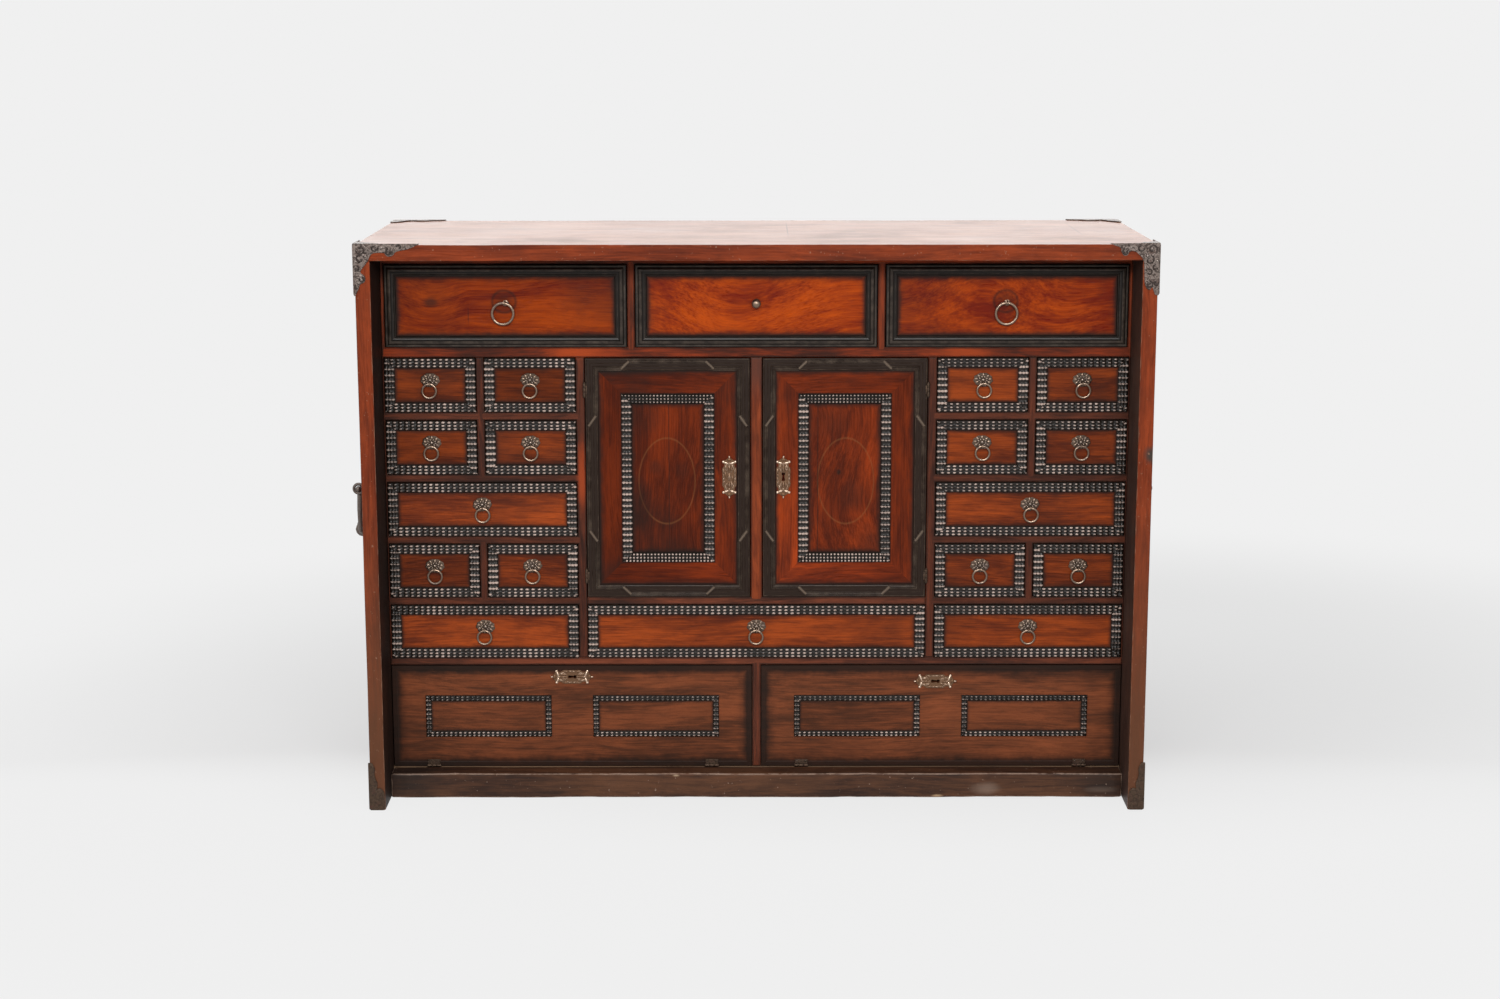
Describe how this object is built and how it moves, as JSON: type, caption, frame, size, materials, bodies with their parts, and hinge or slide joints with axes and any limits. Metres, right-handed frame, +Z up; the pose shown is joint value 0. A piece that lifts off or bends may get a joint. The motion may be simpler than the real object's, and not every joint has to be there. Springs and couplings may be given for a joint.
{
  "type": "table cabinet",
  "caption": "Walnut table cabinet with banks of small drawers, a two-door cupboard, fall flaps, ring pulls and side handles.",
  "frame": {"origin": "on the ground plane, under the middle of the whole cabinet with its handles and corner irons", "axes": "+Z up, -Y out of the front towards a person who opens the drawers, +X to that person's right"},
  "size_m": [1.1672, 0.4012, 0.8078],
  "materials": {
    "case_walnut": "waxed red-brown walnut, worn at the edges",
    "inner_walnut": "waxed red-brown walnut",
    "bright_walnut": "polished figured walnut with ebonised mouldings",
    "drawer_walnut": "waxed walnut with ebonised ripple mouldings",
    "door_walnut": "polished walnut with ebonised mouldings",
    "flap_walnut": "waxed walnut with darkened edges",
    "back_board": "unpolished softwood",
    "forged_iron": "dark forged iron, lightly polished by use",
    "ebonised_wood": "black-stained fruitwood, polished",
    "cast_brass": "old gilt brass, rubbed"
  },
  "bodies": {
    "case": {"top_board": "case_walnut", "side_left": "case_walnut", "side_right": "case_walnut", "back_panel": "back_board", "bottom_board": "inner_walnut", "bottom_rail": "case_walnut", "upper_frame": "inner_walnut", "lower_frame": "inner_walnut", "bank_frame_left": "inner_walnut", "bank_frame_right": "inner_walnut", "centre_frame": "inner_walnut", "corner_iron_top_left": "forged_iron", "corner_iron_top_right": "forged_iron", "corner_iron_bottom_left": "forged_iron", "corner_iron_bottom_right": "forged_iron"},
    "door_left": {"door_left": "door_walnut"},
    "door_right": {"door_right": "door_walnut"},
    "flap_left": {"flap_left": "flap_walnut"},
    "flap_right": {"flap_right": "flap_walnut"},
    "handle_left": {"handle_left": "forged_iron"},
    "handle_right": {"handle_right": "forged_iron"},
    "drawer_top_left": {"drawer_top_left": "bright_walnut"},
    "drawer_top_middle": {"drawer_top_middle": "bright_walnut"},
    "drawer_top_right": {"drawer_top_right": "bright_walnut"},
    "drawer_centre": {"drawer_centre": "drawer_walnut"},
    "drawer_left_1_inner": {"drawer_left_1_inner": "drawer_walnut"},
    "drawer_left_1_outer": {"drawer_left_1_outer": "drawer_walnut"},
    "drawer_left_2_inner": {"drawer_left_2_inner": "drawer_walnut"},
    "drawer_left_2_outer": {"drawer_left_2_outer": "drawer_walnut"},
    "drawer_left_3": {"drawer_left_3": "drawer_walnut"},
    "drawer_left_4_inner": {"drawer_left_4_inner": "drawer_walnut"},
    "drawer_left_4_outer": {"drawer_left_4_outer": "drawer_walnut"},
    "drawer_left_5": {"drawer_left_5": "drawer_walnut"},
    "drawer_right_1_inner": {"drawer_right_1_inner": "drawer_walnut"},
    "drawer_right_1_outer": {"drawer_right_1_outer": "drawer_walnut"},
    "drawer_right_2_inner": {"drawer_right_2_inner": "drawer_walnut"},
    "drawer_right_2_outer": {"drawer_right_2_outer": "drawer_walnut"},
    "drawer_right_3": {"drawer_right_3": "drawer_walnut"},
    "drawer_right_4_inner": {"drawer_right_4_inner": "drawer_walnut"},
    "drawer_right_4_outer": {"drawer_right_4_outer": "drawer_walnut"},
    "drawer_right_5": {"drawer_right_5": "drawer_walnut"},
    "ring_top_left": {"ring_top_left": "forged_iron"},
    "ring_top_right": {"ring_top_right": "forged_iron"},
    "ring_centre": {"ring_centre": "forged_iron"},
    "ring_left_1_inner": {"ring_left_1_inner": "forged_iron"},
    "ring_left_1_outer": {"ring_left_1_outer": "forged_iron"},
    "ring_left_2_inner": {"ring_left_2_inner": "forged_iron"},
    "ring_left_2_outer": {"ring_left_2_outer": "forged_iron"},
    "ring_left_3": {"ring_left_3": "forged_iron"},
    "ring_left_4_inner": {"ring_left_4_inner": "forged_iron"},
    "ring_left_4_outer": {"ring_left_4_outer": "forged_iron"},
    "ring_left_5": {"ring_left_5": "forged_iron"},
    "ring_right_1_inner": {"ring_right_1_inner": "forged_iron"},
    "ring_right_1_outer": {"ring_right_1_outer": "forged_iron"},
    "ring_right_2_inner": {"ring_right_2_inner": "forged_iron"},
    "ring_right_2_outer": {"ring_right_2_outer": "forged_iron"},
    "ring_right_3": {"ring_right_3": "forged_iron"},
    "ring_right_4_inner": {"ring_right_4_inner": "forged_iron"},
    "ring_right_4_outer": {"ring_right_4_outer": "forged_iron"},
    "ring_right_5": {"ring_right_5": "forged_iron"}
  },
  "joints": [
    {"name": "door_left_hinge", "type": "hinge", "parent": "case", "child": "door_left", "pos_m": [-0.23785, -0.11125, 0.4644], "axis": [0, 0, -1], "range_deg": [0, 90]},
    {"name": "door_right_hinge", "type": "hinge", "parent": "case", "child": "door_right", "pos_m": [0.24915, -0.11125, 0.4644], "axis": [0, 0, 1], "range_deg": [0, 90]},
    {"name": "flap_left_hinge", "type": "hinge", "parent": "case", "child": "flap_left", "pos_m": [-0.26155, -0.11125, 0.0399], "axis": [1, 0, 0], "range_deg": [0, 90]},
    {"name": "flap_right_hinge", "type": "hinge", "parent": "case", "child": "flap_right", "pos_m": [0.27285, -0.11125, 0.0399], "axis": [1, 0, 0], "range_deg": [0, 90]},
    {"name": "handle_left_swing", "type": "hinge", "parent": "case", "child": "handle_left", "pos_m": [-0.57115, 0.00105, 0.439], "axis": [0, 1, 0], "range_deg": [-11, 100]},
    {"name": "handle_right_swing", "type": "hinge", "parent": "case", "child": "handle_right", "pos_m": [0.57115, 0.00105, 0.439], "axis": [0, -1, 0], "range_deg": [-2, 100]},
    {"name": "drawer_top_left_slide", "type": "slide", "parent": "case", "child": "drawer_top_left", "axis": [0, -1, 0], "range_m": [0, 0.235]},
    {"name": "drawer_top_middle_slide", "type": "slide", "parent": "case", "child": "drawer_top_middle", "axis": [0, -1, 0], "range_m": [0, 0.235]},
    {"name": "drawer_top_right_slide", "type": "slide", "parent": "case", "child": "drawer_top_right", "axis": [0, -1, 0], "range_m": [0, 0.235]},
    {"name": "drawer_centre_slide", "type": "slide", "parent": "case", "child": "drawer_centre", "axis": [0, -1, 0], "range_m": [0, 0.235]},
    {"name": "drawer_left_1_inner_slide", "type": "slide", "parent": "case", "child": "drawer_left_1_inner", "axis": [0, -1, 0], "range_m": [0, 0.235]},
    {"name": "drawer_left_1_outer_slide", "type": "slide", "parent": "case", "child": "drawer_left_1_outer", "axis": [0, -1, 0], "range_m": [0, 0.235]},
    {"name": "drawer_left_2_inner_slide", "type": "slide", "parent": "case", "child": "drawer_left_2_inner", "axis": [0, -1, 0], "range_m": [0, 0.235]},
    {"name": "drawer_left_2_outer_slide", "type": "slide", "parent": "case", "child": "drawer_left_2_outer", "axis": [0, -1, 0], "range_m": [0, 0.235]},
    {"name": "drawer_left_3_slide", "type": "slide", "parent": "case", "child": "drawer_left_3", "axis": [0, -1, 0], "range_m": [0, 0.235]},
    {"name": "drawer_left_4_inner_slide", "type": "slide", "parent": "case", "child": "drawer_left_4_inner", "axis": [0, -1, 0], "range_m": [0, 0.235]},
    {"name": "drawer_left_4_outer_slide", "type": "slide", "parent": "case", "child": "drawer_left_4_outer", "axis": [0, -1, 0], "range_m": [0, 0.235]},
    {"name": "drawer_left_5_slide", "type": "slide", "parent": "case", "child": "drawer_left_5", "axis": [0, -1, 0], "range_m": [0, 0.235]},
    {"name": "drawer_right_1_inner_slide", "type": "slide", "parent": "case", "child": "drawer_right_1_inner", "axis": [0, -1, 0], "range_m": [0, 0.235]},
    {"name": "drawer_right_1_outer_slide", "type": "slide", "parent": "case", "child": "drawer_right_1_outer", "axis": [0, -1, 0], "range_m": [0, 0.235]},
    {"name": "drawer_right_2_inner_slide", "type": "slide", "parent": "case", "child": "drawer_right_2_inner", "axis": [0, -1, 0], "range_m": [0, 0.235]},
    {"name": "drawer_right_2_outer_slide", "type": "slide", "parent": "case", "child": "drawer_right_2_outer", "axis": [0, -1, 0], "range_m": [0, 0.235]},
    {"name": "drawer_right_3_slide", "type": "slide", "parent": "case", "child": "drawer_right_3", "axis": [0, -1, 0], "range_m": [0, 0.235]},
    {"name": "drawer_right_4_inner_slide", "type": "slide", "parent": "case", "child": "drawer_right_4_inner", "axis": [0, -1, 0], "range_m": [0, 0.235]},
    {"name": "drawer_right_4_outer_slide", "type": "slide", "parent": "case", "child": "drawer_right_4_outer", "axis": [0, -1, 0], "range_m": [0, 0.235]},
    {"name": "drawer_right_5_slide", "type": "slide", "parent": "case", "child": "drawer_right_5", "axis": [0, -1, 0], "range_m": [0, 0.235]},
    {"name": "ring_top_left_swing", "type": "hinge", "parent": "drawer_top_left", "child": "ring_top_left", "pos_m": [-0.34735, -0.11375, 0.71565], "axis": [-1, 0, 0], "range_deg": [0, 120]},
    {"name": "ring_top_right_swing", "type": "hinge", "parent": "drawer_top_right", "child": "ring_top_right", "pos_m": [0.35865, -0.11375, 0.71565], "axis": [-1, 0, 0], "range_deg": [0, 120]},
    {"name": "ring_centre_swing", "type": "hinge", "parent": "drawer_centre", "child": "ring_centre", "pos_m": [0.00565, -0.11435, 0.2423], "axis": [-1, 0, 0], "range_deg": [0, 120]},
    {"name": "ring_left_1_inner_swing", "type": "hinge", "parent": "drawer_left_1_inner", "child": "ring_left_1_inner", "pos_m": [-0.3151, -0.11435, 0.6011], "axis": [-1, 0, 0], "range_deg": [0, 120]},
    {"name": "ring_left_1_outer_swing", "type": "hinge", "parent": "drawer_left_1_outer", "child": "ring_left_1_outer", "pos_m": [-0.4561, -0.11435, 0.6011], "axis": [-1, 0, 0], "range_deg": [0, 120]},
    {"name": "ring_left_2_inner_swing", "type": "hinge", "parent": "drawer_left_2_inner", "child": "ring_left_2_inner", "pos_m": [-0.3151, -0.11435, 0.5114], "axis": [-1, 0, 0], "range_deg": [0, 120]},
    {"name": "ring_left_2_outer_swing", "type": "hinge", "parent": "drawer_left_2_outer", "child": "ring_left_2_outer", "pos_m": [-0.4561, -0.11435, 0.5114], "axis": [-1, 0, 0], "range_deg": [0, 120]},
    {"name": "ring_left_3_swing", "type": "hinge", "parent": "drawer_left_3", "child": "ring_left_3", "pos_m": [-0.3856, -0.11435, 0.4217], "axis": [-1, 0, 0], "range_deg": [0, 120]},
    {"name": "ring_left_4_inner_swing", "type": "hinge", "parent": "drawer_left_4_inner", "child": "ring_left_4_inner", "pos_m": [-0.3151, -0.11435, 0.332], "axis": [-1, 0, 0], "range_deg": [0, 120]},
    {"name": "ring_left_4_outer_swing", "type": "hinge", "parent": "drawer_left_4_outer", "child": "ring_left_4_outer", "pos_m": [-0.4561, -0.11435, 0.332], "axis": [-1, 0, 0], "range_deg": [0, 120]},
    {"name": "ring_left_5_swing", "type": "hinge", "parent": "drawer_left_5", "child": "ring_left_5", "pos_m": [-0.3856, -0.11435, 0.2423], "axis": [-1, 0, 0], "range_deg": [0, 120]},
    {"name": "ring_right_1_inner_swing", "type": "hinge", "parent": "drawer_right_1_inner", "child": "ring_right_1_inner", "pos_m": [0.3264, -0.11435, 0.6011], "axis": [-1, 0, 0], "range_deg": [0, 120]},
    {"name": "ring_right_1_outer_swing", "type": "hinge", "parent": "drawer_right_1_outer", "child": "ring_right_1_outer", "pos_m": [0.4674, -0.11435, 0.6011], "axis": [-1, 0, 0], "range_deg": [0, 120]},
    {"name": "ring_right_2_inner_swing", "type": "hinge", "parent": "drawer_right_2_inner", "child": "ring_right_2_inner", "pos_m": [0.3264, -0.11435, 0.5114], "axis": [-1, 0, 0], "range_deg": [0, 120]},
    {"name": "ring_right_2_outer_swing", "type": "hinge", "parent": "drawer_right_2_outer", "child": "ring_right_2_outer", "pos_m": [0.4674, -0.11435, 0.5114], "axis": [-1, 0, 0], "range_deg": [0, 120]},
    {"name": "ring_right_3_swing", "type": "hinge", "parent": "drawer_right_3", "child": "ring_right_3", "pos_m": [0.3969, -0.11435, 0.4217], "axis": [-1, 0, 0], "range_deg": [0, 120]},
    {"name": "ring_right_4_inner_swing", "type": "hinge", "parent": "drawer_right_4_inner", "child": "ring_right_4_inner", "pos_m": [0.3264, -0.11435, 0.332], "axis": [-1, 0, 0], "range_deg": [0, 120]},
    {"name": "ring_right_4_outer_swing", "type": "hinge", "parent": "drawer_right_4_outer", "child": "ring_right_4_outer", "pos_m": [0.4674, -0.11435, 0.332], "axis": [-1, 0, 0], "range_deg": [0, 120]},
    {"name": "ring_right_5_swing", "type": "hinge", "parent": "drawer_right_5", "child": "ring_right_5", "pos_m": [0.3969, -0.11435, 0.2423], "axis": [-1, 0, 0], "range_deg": [0, 120]}
  ]
}
